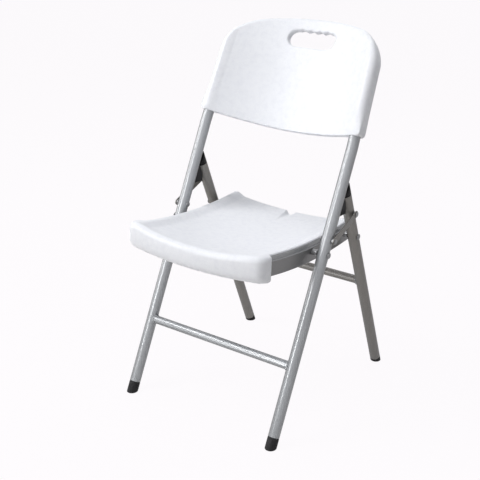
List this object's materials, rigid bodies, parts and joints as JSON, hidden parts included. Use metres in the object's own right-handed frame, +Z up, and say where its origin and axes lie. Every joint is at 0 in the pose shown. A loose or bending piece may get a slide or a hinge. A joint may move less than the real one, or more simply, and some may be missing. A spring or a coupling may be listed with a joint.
{
  "type": "folding chair",
  "caption": "Folding chair with a dished seat and a curved back panel, both of white moulded plastic, on a grey steel tube frame that folds flat.",
  "frame": {"origin": "middle of the open chair's footprint, on the floor", "axes": "+X to the right of someone seated, seen from the front it points right; +Y towards the back of the chair; +Z up"},
  "size_m": [0.4278, 0.5538, 0.8306],
  "materials": {
    "white_plastic": "fine pebbled grain",
    "grey_paint": "satin silver-grey paint",
    "black_plastic": "matte",
    "dark_rubber": "matte",
    "rivet_steel": "zinc plated"
  },
  "bodies": {
    "front_frame": {"back_panel": "white_plastic", "front_crossbar": "grey_paint", "front_leg_left": "grey_paint", "front_foot_left": "dark_rubber", "stop_block_left": "black_plastic", "seat_pivot_rivet_left": "rivet_steel", "seat_pivot_spacer_left": "rivet_steel", "link_front_rivet_left": "rivet_steel", "back_screw_left_1": "rivet_steel", "back_screw_left_2": "rivet_steel", "front_leg_right": "grey_paint", "front_foot_right": "dark_rubber", "stop_block_right": "black_plastic", "seat_pivot_rivet_right": "rivet_steel", "seat_pivot_spacer_right": "rivet_steel", "link_front_rivet_right": "rivet_steel", "back_screw_right_1": "rivet_steel", "back_screw_right_2": "rivet_steel"},
    "seat": {"seat_panel": "white_plastic", "seat_rail_left": "grey_paint", "rail_screw_left_1": "rivet_steel", "rail_screw_left_2": "rivet_steel", "rail_screw_left_3": "rivet_steel", "seat_rail_right": "grey_paint", "rail_screw_right_1": "rivet_steel", "rail_screw_right_2": "rivet_steel", "rail_screw_right_3": "rivet_steel"},
    "link_left": {"link_left": "grey_paint", "link_rear_rivet_left": "rivet_steel"},
    "link_right": {"link_right": "grey_paint", "link_rear_rivet_right": "rivet_steel"},
    "rear_frame": {"rear_crossbar": "grey_paint", "rear_leg_left": "grey_paint", "top_plug_left": "black_plastic", "rear_foot_left": "dark_rubber", "rear_pivot_rivet_left": "rivet_steel", "rear_pivot_spacer_left": "rivet_steel", "rear_leg_right": "grey_paint", "top_plug_right": "black_plastic", "rear_foot_right": "dark_rubber", "rear_pivot_rivet_right": "rivet_steel", "rear_pivot_spacer_right": "rivet_steel"}
  },
  "joints": [
    {"name": "seat_fold", "type": "hinge", "parent": "front_frame", "child": "seat", "pos_m": [0, -0.05893, 0.385], "axis": [-1, 0, 0], "range_deg": [0, 103.8]},
    {"name": "rear_frame_fold", "type": "hinge", "parent": "seat", "child": "rear_frame", "pos_m": [0, 0.075, 0.389], "axis": [1, 0, 0], "range_deg": [0, 53.9]},
    {"name": "link_left_fold", "type": "hinge", "parent": "front_frame", "child": "link_left", "pos_m": [0, -0.0459, 0.414], "axis": [-1, 0, 0], "range_deg": [0, 119.7]},
    {"name": "link_right_fold", "type": "hinge", "parent": "front_frame", "child": "link_right", "pos_m": [0, -0.0459, 0.414], "axis": [-1, 0, 0], "range_deg": [0, 119.7]}
  ],
  "couplings": [
    {"joint": "rear_frame_fold", "follows": "seat_fold", "ratio": 0.51853},
    {"joint": "link_left_fold", "follows": "seat_fold", "ratio": 1.1526},
    {"joint": "link_right_fold", "follows": "seat_fold", "ratio": 1.1526}
  ]
}
